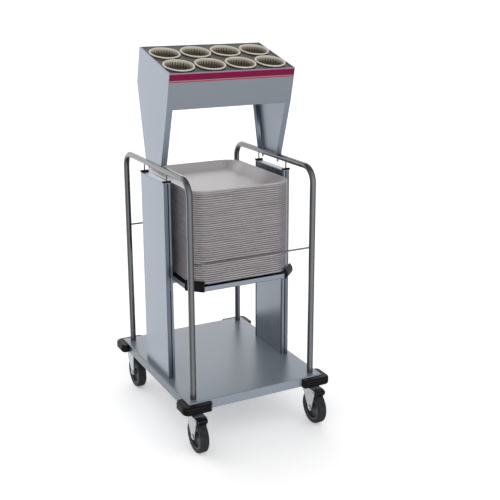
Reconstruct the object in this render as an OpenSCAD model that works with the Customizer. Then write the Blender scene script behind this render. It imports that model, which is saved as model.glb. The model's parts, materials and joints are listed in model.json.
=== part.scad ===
// Cutlery trolley: a wheeled deck with a push rail on each side, a sprung tray
// lift that runs between two columns, and a tower with lift-out cutlery cups.
// Millimetres, +Z up, the front faces -Y, and the floor is at z = 0.

/* [Trays] */
// Width of a tray
tray_w = 396; // [360:1:450]
// Depth of a tray
tray_d = 472; // [420:1:530]
// Corner radius of a tray's rim
tray_corner_r = 66; // [62:1:80]
// Height of a tray
tray_h = 30; // [26:1:36]
// Step from one stacked tray to the next
tray_pitch = 8; // [7:0.1:10]
// Trays on the platform
tray_count = 42; // [2:1:44]

/* [Deck] */
// Height of the deck's folded flange
deck_flange_h = 34; // [28:1:40]
// Thickness of the folded sheets
sheet_t = 2; // [1.5:0.1:2.5]
// Outer radius of the deck's bends
deck_bend_r = 4; // [3:0.5:8]
// How far the bumpers stand out from the deck's edges
bumper_reach = 26; // [22:1:34]
// Length of a bumper's arm along the deck's front or rear edge
bumper_arm = 85; // [70:1:120]
// Length of a bumper's arm along the deck's side
bumper_side_arm = 60; // [50:1:90]
// How far the bumpers hang below the deck's flange
bumper_drop = 2; // [0:0.5:6]

/* [Castors] */
// Diameter of the wheels
wheel_d = 125; // [110:1:130]
// Width of the tyres
wheel_w = 32; // [26:1:36]
// Distance of the wheel's axle from the swivel axis
castor_trail = 38; // [34:1:46]
// Diameter of the axles
axle_d = 10; // [8:0.5:12]
// Height of the spacer blocks between the castors and the deck
castor_block_h = 29; // [27:1:50]

/* [Side frames] */
// Outer diameter of the tubes
tube_d = 22; // [20:0.5:25]
// Wall of the tubes
tube_wall = 1.5; // [1.2:0.1:2.5]
// Distance of the tubes' axes from the deck's edges
frame_inset = 32; // [32:0.5:40]
// Distance of the tubes' axes from the trays' ends
frame_end_gap = 64; // [40:1:100]
// Height of the rails' axes above the deck
frame_h = 777; // [740:1:820]
// Radius of the frames' bends at the tube's axis
frame_bend_r = 55; // [45:1:80]
// Height of the cross rods above the deck
cross_rod_rise = 488; // [400:1:560]
// Diameter of the cross rods
cross_rod_d = 6; // [5:0.5:8]

/* [Columns] */
// Thickness of a column across the trolley
column_t = 27; // [26:0.5:32]
// Depth of a column from front to back
column_d = 222; // [200:1:240]
// Gap between the columns' tops and the rails
column_top_gap = 30; // [24:1:40]
// Width of the slots that the lift's arms pass through
slot_w = 8; // [7:0.5:10]
// Diameter of the guide rods inside the columns
guide_rod_d = 8; // [6:0.5:10]
// Outer diameter of the lift springs
spring_d = 14; // [10:0.5:16]

/* [Tray lift] */
// Margin of the platform beside the trays
tray_margin = 12; // [10:0.5:20]
// Gap between the platform's sides and the columns
lift_side_gap = 14.5; // [10:0.5:20]
// Margin of the platform ahead of and behind the trays
tray_end_margin = 4; // [4:0.5:12]
// Height of the platform's edge, which is folded up
lift_flange_h = 18; // [14:1:20]
// Height of the platform's floor above the deck, as it stands
lift_rise = 366; // [340:1:380]

/* [Cutlery tower] */
// How far the tower's sides stand outside the rails' axes
tower_overhang = 3; // [2:0.5:6]
// Height of the tower's top edge above the rails
tower_h = 400; // [380:1:450]
// Slope of the cup panel, in degrees
panel_slope = 14.93; // [10:0.01:20]
// Margin of the cup panel ahead of and behind the rims
panel_margin = 20.2; // [16:0.1:30]
// Distance of the panel's back edge behind the frames' middle
panel_back_y = 109; // [95:1:120]
// How far the front panel leans in towards its foot
bin_front_lean = 31; // [20:1:40]
// Height from the bin's back crease to the top edge
bin_back_h = 128; // [100:1:150]
// How far the back crease stands behind the top edge
bin_back_lean = 35; // [25:1:45]
// Distance of a leg's front edge ahead of the frames' middle, at its foot
foot_front_y = 66; // [55:1:80]
// Distance of a leg's rear edge behind the frames' middle, at its foot
foot_rear_y = 81; // [70:1:95]
// Width of the legs' folded flanges
leg_flange_w = 20; // [14:1:26]

/* [Cups] */
// Gap between the rims in a row
cup_gap = 6; // [4:0.5:10]
// Gap between the rims of the two rows
cup_row_gap = 15; // [10:1:25]
// How far a cup's rim stands out from its body
cup_rim_over = 3.5; // [3:0.1:6]
// How much a cup narrows towards its base, on each side
cup_taper = 10; // [5:0.5:15]
// Depth of a cup below the panel
cup_depth = 122; // [100:1:140]
// Wall of a cup
cup_wall = 2.5; // [2:0.1:4]

/* [Hidden] */
$fn = 48;

// Clearances and the overrun of cuts
overrun = 1;
run_fit = 0.05;
seat_gap = 0.2;
slip_gap = 0.1;
part_gap = 0.3;

// Main places, built up from the castors, the trays and the frames
crown_gap = 7;
crown_t = 5;
head_h = 16;
wheel_r = wheel_d / 2;
crown_z = wheel_d + crown_gap;
head_z = crown_z + crown_t;
castor_h = head_z + head_h;
deck_top_z = castor_h + castor_block_h + sheet_t;
deck_low_z = deck_top_z - deck_flange_h;
lift_w = tray_w + 2 * tray_margin;
lift_d = tray_d + 2 * tray_end_margin;
lift_top_z = deck_top_z + lift_rise;
frame_x = lift_w / 2 + lift_side_gap + column_t / 2;
frame_y = tray_d / 2 + frame_end_gap;
deck_w = 2 * (frame_x + frame_inset);
deck_d = 2 * (frame_y + frame_inset);
tube_r = tube_d / 2;
tube_in_r = tube_r - tube_wall;
rail_z = deck_top_z + frame_h;
cross_rod_z = deck_top_z + cross_rod_rise;
column_top_z = rail_z - tube_r - column_top_gap;

// Deck and bumpers
bumper_top_gap = 5;
bumper_round_r = 9;
bumper_groove_h = 3;
bumper_groove_depth = 2.5;
bumper_groove_shares = [0.4, 0.64];
bumper_end_shares = [0.4, 0.5];
stiffener_w = 60;
stiffener_h = 26;
stiffener_flange = 15;
stiffener_y = deck_d / 4;
bumper_low_z = deck_low_z - bumper_drop;
bumper_h = deck_top_z - bumper_top_gap - bumper_low_z;

// Castors
crown_r = 20;
head_r = 21;
head_neck_r = 17;
head_neck_h = 6;
stem_r = 6;
stem_in_tube = 30;
king_pin_r = 5;
king_nut_r = 9;
king_nut_h = 6;
block_r = 20;
fork_gap = 3;
fork_t = 3;
fork_back = 12;
fork_back_low_share = 0.88;
fork_front = 13;
crown_front = 8;
axle_boss_r = 13;
axle_head_r = 8;
axle_head_t = 3;
hub_boss_r = 11;
hub_web_t = 8;
hub_rim_t = 6;
hub_rim_in = 1;
tyre_t = 14;
tyre_shoulder_r = 6;
pedal_pivot_ahead = 22;
pedal_pivot_up = 5;
pedal_ear = 30;
pedal_ear_drop = 16;
pedal_barrel_r = 5.5;
pedal_pin_r = 3;
pedal_side_gap = 1.5;
pedal_l = 27;
pedal_h = 9;
pedal_outline_shares = [
    [0, 0.6], [-0.6, 1], [-0.8, 0.8], [-0.84, -0.2], [-0.68, -1],
    [-0.5, -1], [-0.3, -0.9], [-0.2, -0.3], [0, -0.3]
];
axle_r = axle_d / 2;
fork_in = wheel_w / 2 + fork_gap;
fork_w = 2 * (fork_in + fork_t);
hub_rim_r = wheel_r - tyre_t;
pedal_w = 2 * (fork_in - pedal_side_gap);
pedal_z = wheel_d + pedal_pivot_up;
pedal_y = castor_trail + pedal_pivot_ahead;

// Side frames
foot_plug_h = 40;

// Columns
column_bend_r = 3;
casing_flange = 14;
strip_w = 9;
strip_return = 3;
panel_flange = 6;
cap_t = 3;
clip_over = 2;
clip_d = 10;
clip_h = 7;
tie_d = 5;
tie_inset = 5;
hanger_d = 14;
hanger_h = 10;
hanger_drop = 10;
spring_wall = 1.6;
spring_y = 45;
casing_top_z = column_top_z - cap_t;
tie_y = column_d / 2 - tie_inset;
panel_half = column_d / 2 - strip_return - slot_w;
arm_y = panel_half + slot_w / 2;
hanger_z = casing_top_z - hanger_drop - hanger_h;

// Tray lift
lift_bend_r = 3;
carriage_t = 12;
carriage_below = 24;
carriage_above = 8;
carriage_clear = 2;
arm_t = 5;
arm_inset = 2;
glide_wall = 3;
glide_flange = 2;
glide_l = 14;
boss_clear = 1;
guide_gap = 3;
guide_up = 20;
guide_out = 13;
guide_section_shares = [[0, 0], [0.6, 0], [1, 0.3], [0.85, 0.66], [0.15, 1], [0, 1]];
tray_floor_t = 3;
tray_rim_t = 2.5;
tray_wall_run = 48;
tray_flange_w = 6;
tray_lip_h = 6;
tray_lip_t = 2.5;
tray_step_t = 2;
lift_low_z = lift_top_z - sheet_t;
lift_edge_z = lift_low_z + lift_flange_h;
carriage_low_z = lift_low_z - carriage_below;
carriage_top_z = lift_edge_z + carriage_above;
glide_r = guide_rod_d / 2 + glide_wall;
boss_r = column_t / 2 - sheet_t - boss_clear;

// A tray's section, from the centre of its corner outwards. The step inside the
// lip stands on the rim of the next tray down
tray_floor_r = tray_corner_r - tray_wall_run - tray_flange_w;
tray_wall_rise = tray_h - tray_rim_t;
tray_wall_v = tray_floor_t * norm([tray_wall_run, tray_wall_rise]) / tray_wall_run;
tray_slope = tray_wall_run / tray_wall_rise;
tray_lip_r = tray_corner_r - tray_lip_t;
tray_step_r = tray_lip_r - tray_step_t;
tray_step_z = tray_h - tray_pitch + part_gap;
tray_core_x = tray_w / 2 - tray_corner_r;
tray_core_y = tray_d / 2 - tray_corner_r;
tray_section = [
    [0, 0],
    [tray_floor_r, 0],
    [tray_floor_r + tray_wall_run, tray_wall_rise],
    [tray_step_r, tray_wall_rise],
    [tray_step_r, tray_step_z],
    [tray_lip_r, tray_step_z],
    [tray_lip_r, tray_h - tray_lip_h],
    [tray_corner_r, tray_h - tray_lip_h],
    [tray_corner_r, tray_h],
    [tray_floor_r + (tray_h - tray_wall_v) * tray_slope, tray_h],
    [tray_floor_r + (tray_floor_t - tray_wall_v) * tray_slope, tray_floor_t],
    [0, tray_floor_t]
];

// The platform's corners are cut off beside the trays' round corners
lift_corner_cut = (lift_w + lift_d) / 2
    - (tray_core_x + tray_core_y + sqrt(2) * (tray_corner_r + guide_gap));

// Cups, which fill the width of the tower between its top lips
tower_x = frame_x + tower_overhang;
tower_in_x = tower_x - sheet_t;
top_lip_w = 3;
cup_columns = 4;
cup_rows = 2;
cup_forward = 5;
cup_hole_gap = 1;
cup_base_t = 3;
cup_drain_d = 9;
cup_drain_r = 24;
cup_drains = 6;
cup_pitch = 2 * (tower_in_x - top_lip_w) / cup_columns;
cup_rim_r = (cup_pitch - cup_gap) / 2;
cup_mouth_r = cup_rim_r - cup_rim_over;
cup_base_r = cup_mouth_r - cup_taper;
cup_bead_r = (cup_rim_over + cup_wall) / 2;
cup_row_pitch = 2 * cup_rim_r + cup_row_gap;
panel_l = cup_row_pitch + 2 * (cup_rim_r + panel_margin);
front_row_along = panel_l / 2 + cup_forward + cup_row_pitch / 2;

// Cutlery tower: corners of its side view as [y, z]
bin_floor_gap = 12;
tower_top_z = rail_z + tube_r + tower_h;
cup_low_z = tower_top_z - front_row_along * sin(panel_slope)
    - (cup_depth + sheet_t) * cos(panel_slope) - cup_base_r * sin(panel_slope);
bin_low_z = cup_low_z - bin_floor_gap - sheet_t;
crease_z = tower_top_z - bin_back_h;
foot_z = rail_z + tube_r + slip_gap;
back_top = [panel_back_y, tower_top_z];
front_top = back_top - panel_l * [cos(panel_slope), sin(panel_slope)];
front_low = [front_top[0] + bin_front_lean, bin_low_z];
foot_front = [-foot_front_y, foot_z];
foot_rear = [foot_rear_y, foot_z];
back_crease = [panel_back_y + bin_back_lean, crease_z];
back_low = foot_rear + (back_crease - foot_rear) * (bin_low_z - foot_z) / (crease_z - foot_z);
bin_corners = [back_top, front_top, front_low, back_low, back_crease];
leg_corners = [front_low, foot_front, foot_rear, back_low];
side_corners = [back_top, front_top, front_low, foot_front, foot_rear, back_crease];
tower_bolt_d = 5;
tower_bolt_head_r = 4;
tower_bolt_head_h = 3.5;
tower_bolt_clear = 1;
tower_bolt_inset = 15;
tower_bolt_x = tower_in_x - tower_bolt_clear - tower_bolt_head_r;
dome_nut_r = 4;
dome_nut_h = 5;
bolt_end = 3;

// The front wheels reach further than the rear bumpers, so the whole trolley
// moves back to stand with its middle over the origin
front_reach = frame_y + castor_trail + wheel_r;
rear_reach = deck_d / 2 + bumper_reach;
middle_y = (front_reach - rear_reach) / 2;

CASTORS = [
    ["front_left", -1, -1], ["front_right", 1, -1],
    ["rear_left", -1, 1], ["rear_right", 1, 1]
];
SIDES = [["left", -1], ["right", 1]];
CUPS = [
    for (row = [0 : cup_rows - 1], column = [0 : cup_columns - 1])
        [str(row == 0 ? "back" : "front", "_cup_", column + 1), row, column]
];

// Colours of the finishes
stainless = [0.70, 0.72, 0.75];
dull_steel = [0.55, 0.57, 0.60];
charcoal = [0.20, 0.21, 0.22];
black_plastic = [0.08, 0.08, 0.09];
zinc = [0.75, 0.76, 0.78];
rubber = [0.22, 0.22, 0.23];
tray_grey = [0.62, 0.59, 0.61];
ivory = [0.80, 0.74, 0.62];

// Corner of an outline pushed inwards by t, where p, q and r follow each other
function heading(p, q) = (q - p) / norm(q - p);
function inward(d) = [-d[1], d[0]];
function pushed_corner(p, q, r, t) =
    let (m = inward(heading(p, q)), n = inward(heading(q, r)))
    q + (m + n) * t / (1 + m * n);
function inset(points, t) =
    let (count = len(points))
    [
        for (i = [0 : count - 1])
            pushed_corner(points[(i + count - 1) % count], points[i], points[(i + 1) % count], t)
    ];

// The part as it stands over the origin
module placed() {
    translate([0, middle_y, 0])
        children();
}

module at_corners(x, y) {
    for (sx = [-1, 1], sy = [-1, 1])
        translate([sx * x, sy * y, 0])
            scale_mirror(sx, sy)
                children();
}

// Mirrors a shape drawn for the right rear corner to another corner
module scale_mirror(sx, sy) {
    mirror([sx < 0 ? 1 : 0, 0, 0])
        mirror([0, sy < 0 ? 1 : 0, 0])
            children();
}

module at_side(s) {
    mirror([s < 0 ? 1 : 0, 0, 0])
        children();
}

module ring_2d(outer_r, inner_r) {
    difference() {
        circle(outer_r);
        circle(inner_r);
    }
}

module pipe(outer_r, inner_r, h) {
    linear_extrude(h)
        ring_2d(outer_r, inner_r);
}

// A rectangle with round corners, centred
module soft_rect(w, d, r) {
    square([w - 2 * r, d], center = true);
    square([w, d - 2 * r], center = true);
    for (sx = [-1, 1], sy = [-1, 1])
        translate([sx * (w / 2 - r), sy * (d / 2 - r)])
            circle(r);
}

// A rectangle on the X axis whose upper corners are round
module round_top(w, h, r) {
    translate([-w / 2, 0])
        square([w, h - r]);
    translate([r - w / 2, 0])
        square([w - 2 * r, h]);
    for (s = [-1, 1])
        translate([s * (w / 2 - r), h - r])
            circle(r);
}

module crowned_box(w, d, h, r) {
    intersection() {
        rotate([90, 0, 0])
            linear_extrude(d, center = true)
                round_top(w, h, r);
        rotate([90, 0, 90])
            linear_extrude(w, center = true)
                round_top(d, h, r);
    }
}

// A sheet with a flange folded down all round
module folded_deck(w, d, h, r) {
    difference() {
        crowned_box(w, d, h, r);
        translate([0, 0, -overrun])
            crowned_box(w - 2 * sheet_t, d - 2 * sheet_t, h - sheet_t + overrun, r - sheet_t / 2);
    }
}

// A tower outline on the YZ plane, thickened from x0 to x1
module tower_plate(points, x0, x1) {
    translate([x0, 0, 0])
        rotate([90, 0, 90])
            linear_extrude(x1 - x0)
                polygon(points);
}

module base_platform() {
    color(stainless)
        difference() {
            translate([0, 0, deck_low_z])
                folded_deck(deck_w, deck_d, deck_flange_h, deck_bend_r);
            at_corners(frame_x, frame_y)
                translate([0, 0, deck_low_z])
                    cylinder(h = deck_flange_h + overrun, r = stem_r + slip_gap);
        }
}

// Hat channels that stiffen the deck from below
module base_stiffeners() {
    length = deck_w - 2 * (sheet_t + deck_bend_r);
    color(dull_steel)
        for (s = [-1, 1])
            translate([0, s * stiffener_y, deck_top_z - sheet_t - stiffener_h])
                rotate([90, 0, 90])
                    linear_extrude(length, center = true)
                        hat_section();
}

module hat_section() {
    difference() {
        translate([-stiffener_w / 2, 0])
            square([stiffener_w, stiffener_h]);
        translate([sheet_t - stiffener_w / 2, sheet_t])
            square([stiffener_w - 2 * sheet_t, stiffener_h]);
    }
    for (s = [-1, 1])
        translate([s * (stiffener_w + stiffener_flange) / 2, stiffener_h - sheet_t / 2])
            square([stiffener_flange + overrun, sheet_t], center = true);
}

// Section of a bumper, from the deck's edge outwards
module bumper_section() {
    flat_u = bumper_reach - bumper_round_r;
    difference() {
        union() {
            square([flat_u, bumper_h]);
            translate([0, bumper_round_r])
                square([bumper_reach, bumper_h - 2 * bumper_round_r]);
            for (v = [bumper_round_r, bumper_h - bumper_round_r])
                translate([flat_u, v])
                    circle(bumper_round_r);
        }
        for (share = bumper_groove_shares)
            translate([bumper_reach - bumper_groove_depth, share * bumper_h - bumper_groove_h / 2])
                square([bumper_groove_depth + overrun, bumper_groove_h]);
    }
}

// An arm along the rear edge, whose far end is cut off at a slant
module bumper_bar(length) {
    out = bumper_reach + overrun;
    intersection() {
        translate([-length, 0, 0])
            rotate([90, 0, 90])
                linear_extrude(length)
                    bumper_section();
        translate([0, 0, -overrun])
            linear_extrude(bumper_h + 2 * overrun)
                polygon([
                    [overrun, -overrun],
                    [overrun, out],
                    [bumper_reach * bumper_end_shares[1] - length, out],
                    [-length - overrun, bumper_reach * bumper_end_shares[0]],
                    [-length - overrun, -overrun]
                ]);
    }
}

// A bumper round the deck's corner, which lies at the origin
module bumper() {
    rotate_extrude(angle = 90)
        bumper_section();
    bumper_bar(bumper_arm);
    mirror([1, -1, 0])
        bumper_bar(bumper_side_arm);
}

module corner_bumpers() {
    color(black_plastic)
        at_corners(deck_w / 2, deck_d / 2)
            translate([0, 0, bumper_low_z])
                bumper();
}

// Castors. A castor is drawn with its swivel axis on the Z axis
module castor_blocks() {
    color(dull_steel)
        at_corners(frame_x, frame_y)
            translate([0, 0, castor_h])
                pipe(block_r, stem_r + slip_gap, deck_top_z - sheet_t - castor_h);
}

module castor_heads() {
    nut_top = crown_z - part_gap;
    head_low = head_z + part_gap;
    color(zinc)
        at_corners(frame_x, frame_y)
            rotate_extrude()
                polygon([
                    [0, nut_top - king_nut_h],
                    [king_nut_r, nut_top - king_nut_h],
                    [king_nut_r, nut_top],
                    [king_pin_r, nut_top],
                    [king_pin_r, head_low],
                    [head_neck_r, head_low],
                    [head_neck_r, head_low + head_neck_h],
                    [head_r, head_low + head_neck_h],
                    [head_r, castor_h],
                    [stem_r, castor_h],
                    [stem_r, deck_top_z + stem_in_tube],
                    [0, deck_top_z + stem_in_tube]
                ]);
}

module fork_leg(braked) {
    top_front = castor_trail + (braked ? pedal_ear : fork_front);
    difference() {
        union() {
            polygon([
                [fork_back, head_z],
                [-top_front, head_z],
                [-top_front, head_z - pedal_ear_drop],
                [-castor_trail - axle_boss_r, wheel_r],
                [axle_boss_r - castor_trail, wheel_r],
                [fork_back, head_z * fork_back_low_share]
            ]);
            translate([-castor_trail, wheel_r])
                circle(axle_boss_r);
        }
        translate([-castor_trail, wheel_r])
            circle(axle_r + run_fit);
        if (braked)
            translate([-pedal_y, pedal_z])
                circle(pedal_pin_r + run_fit);
    }
}

module fork(braked) {
    color(zinc) {
        for (x = [-fork_in - fork_t, fork_in])
            translate([x, 0, 0])
                rotate([90, 0, 90])
                    linear_extrude(fork_t)
                        fork_leg(braked);
        translate([0, 0, crown_z])
            linear_extrude(crown_t)
                difference() {
                    union() {
                        circle(crown_r);
                        translate([-fork_w / 2, -castor_trail - crown_front])
                            square([fork_w, castor_trail + crown_front + fork_back]);
                    }
                    circle(king_pin_r + run_fit);
                }
    }
}

module on_axle() {
    translate([0, -castor_trail, wheel_r])
        rotate([0, 90, 0])
            children();
}

module axle() {
    color(zinc)
        on_axle() {
            cylinder(h = fork_w, r = axle_r, center = true);
            for (s = [-1, 1])
                translate([0, 0, s * (fork_w + axle_head_t) / 2])
                    cylinder(h = axle_head_t, r = axle_head_r, center = true);
        }
}

module hub() {
    boss_half = fork_in - part_gap;
    rim_half = wheel_w / 2 - hub_rim_in;
    web_half = hub_web_t / 2;
    rim_in_r = hub_rim_r - hub_rim_t;
    color(dull_steel)
        on_axle()
            rotate_extrude()
                polygon([
                    [axle_r + run_fit, -boss_half],
                    [hub_boss_r, -boss_half],
                    [hub_boss_r, -web_half],
                    [rim_in_r, -web_half],
                    [rim_in_r, -rim_half],
                    [hub_rim_r, -rim_half],
                    [hub_rim_r, rim_half],
                    [rim_in_r, rim_half],
                    [rim_in_r, web_half],
                    [hub_boss_r, web_half],
                    [hub_boss_r, boss_half],
                    [axle_r + run_fit, boss_half]
                ]);
}

module tyre() {
    color(rubber)
        on_axle()
            rotate_extrude()
                tyre_section();
}

module tyre_section() {
    half = wheel_w / 2;
    flat_r = wheel_r - tyre_shoulder_r;
    translate([hub_rim_r, -half])
        square([flat_r - hub_rim_r, wheel_w]);
    translate([hub_rim_r, tyre_shoulder_r - half])
        square([tyre_t, wheel_w - 2 * tyre_shoulder_r]);
    for (s = [-1, 1])
        translate([flat_r, s * (half - tyre_shoulder_r)])
            circle(tyre_shoulder_r);
}

module brake_pedal() {
    color(black_plastic)
        translate([0, -pedal_y, pedal_z]) {
            rotate([0, 90, 0]) {
                cylinder(h = 2 * (fork_in - part_gap), r = pedal_barrel_r, center = true);
                cylinder(h = fork_w, r = pedal_pin_r, center = true);
            }
            rotate([90, 0, 90])
                linear_extrude(pedal_w, center = true)
                    polygon([
                        for (share = pedal_outline_shares)
                            [share[0] * pedal_l, share[1] * pedal_h]
                    ]);
        }
}

// Side frames
module side_frame(s) {
    straight = frame_y - frame_bend_r;
    color(stainless)
        at_side(s)
            difference() {
                translate([frame_x, 0, 0]) {
                    translate([0, -straight, rail_z])
                        rotate([-90, 0, 0])
                            pipe(tube_r, tube_in_r, 2 * straight);
                    for (m = [0, 1])
                        mirror([0, m, 0]) {
                            translate([0, frame_y, deck_top_z])
                                pipe(tube_r, tube_in_r, rail_z - frame_bend_r - deck_top_z);
                            translate([0, straight, rail_z - frame_bend_r])
                                rotate(120, [1, 1, 1])
                                    rotate_extrude(angle = 90)
                                        translate([frame_bend_r, 0])
                                            ring_2d(tube_r, tube_in_r);
                        }
                }
                at_tower_bolts()
                    translate([0, 0, rail_z])
                        cylinder(h = tube_d + overrun, r = tower_bolt_d / 2 + slip_gap, center = true);
            }
}

// The places of the right leg's two bolts, beside its web and over the rail
module at_tower_bolts() {
    for (y = [tower_bolt_inset - foot_front_y, foot_rear_y - tower_bolt_inset])
        translate([tower_bolt_x, y, 0])
            children();
}

module foot_plugs() {
    color(dull_steel)
        at_corners(frame_x, frame_y)
            translate([0, 0, deck_top_z])
                pipe(tube_in_r - slip_gap, stem_r + slip_gap, foot_plug_h);
}

// Rods across the front and the back, coped to the tubes
module cross_rods() {
    color(stainless)
        difference() {
            for (s = [-1, 1])
                translate([0, s * frame_y, cross_rod_z])
                    rotate([0, 90, 0])
                        cylinder(h = 2 * frame_x, d = cross_rod_d, center = true);
            at_corners(frame_x, frame_y)
                translate([0, 0, cross_rod_z - tube_d])
                    cylinder(h = 2 * tube_d, r = tube_r);
        }
}

// Columns, drawn in section with the outer face towards +X
module column_shell() {
    difference() {
        soft_rect(column_t, column_d, column_bend_r);
        soft_rect(column_t - 2 * sheet_t, column_d - 2 * sheet_t, column_bend_r - sheet_t / 2);
    }
}

module casing_section() {
    intersection() {
        column_shell();
        translate([column_t / 2 - casing_flange, -column_d / 2])
            square([casing_flange, column_d]);
    }
}

module panel_section() {
    translate([-column_t / 2, -panel_half])
        difference() {
            square([panel_flange, 2 * panel_half]);
            translate([sheet_t, sheet_t])
                square([panel_flange, 2 * (panel_half - sheet_t)]);
        }
    for (s = [-1, 1])
        intersection() {
            column_shell();
            translate([(strip_w - column_t) / 2, s * (column_d - strip_return) / 2])
                square([strip_w, strip_return], center = true);
        }
}

module column_wall(s) {
    at_side(s)
        translate([frame_x, 0, deck_top_z])
            linear_extrude(casing_top_z - deck_top_z)
                children();
}

module column_casing(s) {
    color(stainless)
        column_wall(s)
            casing_section();
}

module column_panels() {
    color(dull_steel)
        for (side = SIDES)
            column_wall(side[1])
                panel_section();
}

module column_caps() {
    color(stainless)
        for (side = SIDES)
            translate([side[1] * frame_x, 0, casing_top_z])
                linear_extrude(cap_t)
                    soft_rect(column_t, column_d, column_bend_r);
}

module column_clips() {
    color(black_plastic)
        at_corners(frame_x, tie_y)
            translate([0, 0, column_top_z + clip_h / 2])
                cube([column_t + 2 * clip_over, clip_d, clip_h], center = true);
}

module column_tie_rods() {
    clip_top_z = column_top_z + clip_h;
    color(stainless)
        difference() {
            at_corners(frame_x, tie_y)
                translate([0, 0, clip_top_z])
                    cylinder(h = rail_z - clip_top_z, d = tie_d);
            for (side = SIDES)
                translate([side[1] * frame_x, 0, rail_z])
                    rotate([90, 0, 0])
                        cylinder(h = column_d, r = tube_r, center = true);
        }
}

module guide_rods() {
    color(zinc)
        for (side = SIDES)
            translate([side[1] * frame_x, 0, deck_top_z])
                cylinder(h = casing_top_z - deck_top_z, d = guide_rod_d);
}

module spring_hangers() {
    color(dull_steel)
        at_corners(frame_x, spring_y)
            translate([0, 0, hanger_z + hanger_h / 2])
                cube([column_t - 2 * sheet_t, hanger_d, hanger_h], center = true);
}

module lift_springs() {
    color(zinc)
        at_corners(frame_x, spring_y)
            translate([0, 0, carriage_top_z])
                pipe(spring_d / 2, spring_d / 2 - spring_wall, hanger_z - carriage_top_z);
}

// Tray lift. The platform is a pan whose corners are cut off
module lift_platform() {
    color(dull_steel)
        difference() {
            translate([0, 0, lift_edge_z])
                mirror([0, 0, 1])
                    folded_deck(lift_w, lift_d, lift_flange_h, lift_bend_r);
            at_corners(lift_w / 2, lift_d / 2)
                translate([0, 0, lift_low_z - overrun])
                    linear_extrude(lift_flange_h + 2 * overrun)
                        polygon([
                            [overrun, -lift_corner_cut - overrun],
                            [overrun, overrun],
                            [-lift_corner_cut - overrun, overrun]
                        ]);
        }
}

// A guide that closes a cut corner and stands up beside the trays
module corner_guide() {
    guide_h = lift_flange_h + guide_up;
    translate([(lift_w - lift_corner_cut) / 2, (lift_d - lift_corner_cut) / 2, lift_low_z])
        rotate([0, 0, 45])
            rotate([90, 0, 0])
                linear_extrude(sqrt(2) * lift_corner_cut, center = true)
                    polygon([
                        for (share = guide_section_shares)
                            [share[0] * guide_out, share[1] * guide_h]
                    ]);
}

module lift_corner_guides() {
    color(black_plastic)
        for (sx = [-1, 1], sy = [-1, 1])
            scale_mirror(sx, sy)
                corner_guide();
}

module carriage(s) {
    carriage_h = carriage_top_z - carriage_low_z;
    carriage_d = column_d - 2 * (sheet_t + carriage_clear);
    arm_l = frame_x - carriage_t / 2 - lift_w / 2;
    arm_h = lift_flange_h - 2 * arm_inset;
    color(dull_steel)
        at_side(s)
            translate([frame_x, 0, 0]) {
                difference() {
                    union() {
                        translate([-carriage_t / 2, -carriage_d / 2, carriage_low_z])
                            cube([carriage_t, carriage_d, carriage_h]);
                        translate([0, 0, carriage_low_z])
                            cylinder(h = carriage_h, r = boss_r);
                    }
                    translate([0, 0, carriage_low_z - overrun])
                        cylinder(h = carriage_h + 2 * overrun, r = glide_r + run_fit);
                }
                for (sy = [-1, 1])
                    translate([-carriage_t / 2 - arm_l, sy * arm_y - arm_t / 2, lift_low_z + arm_inset])
                        cube([arm_l, arm_t, arm_h]);
            }
}

module glide() {
    rod_r = guide_rod_d / 2 + run_fit;
    rotate_extrude()
        polygon([
            [rod_r, -glide_l],
            [glide_r, -glide_l],
            [glide_r, 0],
            [boss_r, 0],
            [boss_r, glide_flange],
            [rod_r, glide_flange]
        ]);
}

module carriage_glides() {
    color(black_plastic)
        for (side = SIDES)
            translate([side[1] * frame_x, 0, 0]) {
                translate([0, 0, carriage_top_z])
                    glide();
                translate([0, 0, carriage_low_z])
                    mirror([0, 0, 1])
                        glide();
            }
}

module tray_side(length) {
    rotate([90, 0, 0])
        linear_extrude(length, center = true)
            polygon(tray_section);
}

module tray() {
    translate([-tray_core_x, -tray_core_y, 0])
        cube([2 * tray_core_x, 2 * tray_core_y, tray_floor_t]);
    for (turn = [0, 180])
        rotate([0, 0, turn]) {
            translate([tray_core_x, 0, 0])
                tray_side(2 * tray_core_y);
            rotate([0, 0, 90])
                translate([tray_core_y, 0, 0])
                    tray_side(2 * tray_core_x);
            translate([tray_core_x, tray_core_y, 0])
                rotate_extrude(angle = 90)
                    polygon(tray_section);
            translate([-tray_core_x, tray_core_y, 0])
                rotate([0, 0, 90])
                    rotate_extrude(angle = 90)
                        polygon(tray_section);
        }
}

module tray_stack() {
    color(tray_grey)
        for (i = [0 : tray_count - 2])
            translate([0, 0, lift_top_z + i * tray_pitch])
                tray();
}

module top_tray() {
    color(tray_grey)
        translate([0, 0, lift_top_z + (tray_count - 1) * tray_pitch])
            tray();
}

// Cutlery tower
module tower_side(s) {
    leg_in = inset(leg_corners, sheet_t);
    bin_in = inset(bin_corners, sheet_t);
    color(stainless)
        at_side(s)
            difference() {
                union() {
                    tower_plate(side_corners, tower_in_x, tower_x);
                    tower_plate(
                        [
                            leg_corners[0], leg_corners[1], leg_corners[2], leg_corners[3],
                            leg_in[3], leg_in[2], leg_in[1], leg_in[0]
                        ],
                        tower_in_x - leg_flange_w, tower_in_x
                    );
                    tower_plate(
                        [bin_corners[0], bin_corners[1], bin_in[1], bin_in[0]],
                        tower_in_x - top_lip_w, tower_in_x
                    );
                }
                at_tower_bolts()
                    translate([0, 0, foot_z - overrun])
                        cylinder(h = sheet_t + 2 * overrun, r = tower_bolt_d / 2 + slip_gap);
            }
}

module tower_bolts() {
    head_z0 = foot_z + sheet_t;
    bolt_low = rail_z - tube_r - dome_nut_h + bolt_end;
    color(zinc)
        for (side = SIDES)
            at_side(side[1])
                at_tower_bolts() {
                    translate([0, 0, head_z0])
                        cylinder(h = tower_bolt_head_h, r = tower_bolt_head_r);
                    translate([0, 0, bolt_low])
                        cylinder(h = head_z0 - bolt_low, d = tower_bolt_d);
                }
}

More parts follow.
